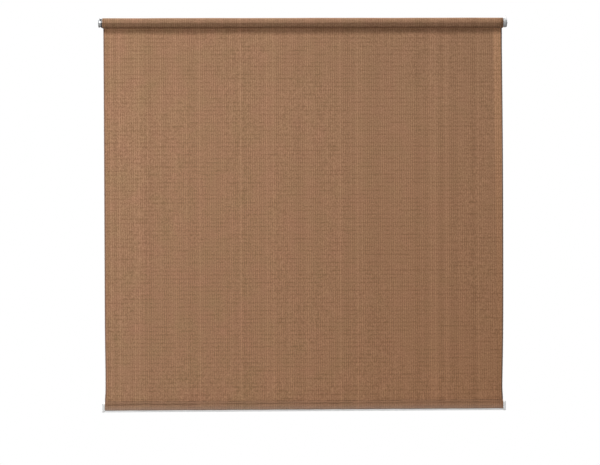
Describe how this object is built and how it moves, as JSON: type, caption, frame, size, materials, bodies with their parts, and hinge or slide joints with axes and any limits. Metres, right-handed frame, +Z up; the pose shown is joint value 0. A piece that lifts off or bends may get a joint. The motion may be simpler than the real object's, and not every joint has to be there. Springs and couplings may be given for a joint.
{
  "type": "outdoor roller shade",
  "caption": "Cordless outdoor roller shade of knitted brown shade cloth on a spring roller, hung between wall brackets, with a weighted rail in its hem.",
  "frame": {"origin": "on the wall, at the centre of the four bracket screw holes", "axes": "+X along the roller to the right as seen from the room, +Y into the wall, +Z up"},
  "size_m": [1.874, 0.0636, 1.8156],
  "materials": {
    "shade_cloth": "matte",
    "zinc_steel": "satin",
    "spring_steel": "satin",
    "bronze": "satin",
    "tube_aluminium": "satin",
    "black_nylon": "satin",
    "grey_nylon": "satin",
    "spline_plastic": "satin",
    "pale_rail": "satin",
    "pale_plastic": "satin"
  },
  "bodies": {
    "brackets": {"bracket_left": "zinc_steel", "bracket_right": "zinc_steel", "spindle": "spring_steel", "spring_rod": "spring_steel", "spring_hub": "black_nylon", "hub_pin": "spring_steel", "lift_spring": "spring_steel", "rod_clip": "spring_steel", "shade_panel": "shade_cloth"},
    "roller": {"roller_tube": "tube_aluminium", "cloth_spline": "spline_plastic", "cloth_roll": "shade_cloth", "drive_plug": "black_nylon", "spindle_bush": "bronze", "brake_spring": "spring_steel", "spring_carrier": "black_nylon", "idle_plug": "grey_nylon", "pin_spring": "spring_steel", "pin_stop": "grey_nylon"},
    "bearing_pin": {"idle_pin": "spring_steel"},
    "hem_rail": {"hem_sleeve": "shade_cloth", "bottom_rail": "pale_rail", "rail_cap_left": "pale_plastic", "rail_cap_right": "pale_plastic"}
  },
  "joints": [
    {"name": "roller_spin", "type": "hinge", "parent": "brackets", "child": "roller", "pos_m": [0, -0.04, -0.008], "axis": [1, 0, 0], "range_deg": [0, 4050]},
    {"name": "rail_lift", "type": "slide", "parent": "brackets", "child": "hem_rail", "axis": [0, 0, 1], "range_m": [0, 1.676], "deforming": ["shade_panel"]},
    {"name": "pin_press", "type": "slide", "parent": "roller", "child": "bearing_pin", "axis": [-1, 0, 0], "range_m": [0, 0.008], "stiffness_N_per_m": 700, "springref_m": -0.008, "deforming": ["pin_spring"]}
  ],
  "couplings": [
    {"joint": "rail_lift", "follows": "roller_spin", "m_per_rad": 0.0237}
  ]
}
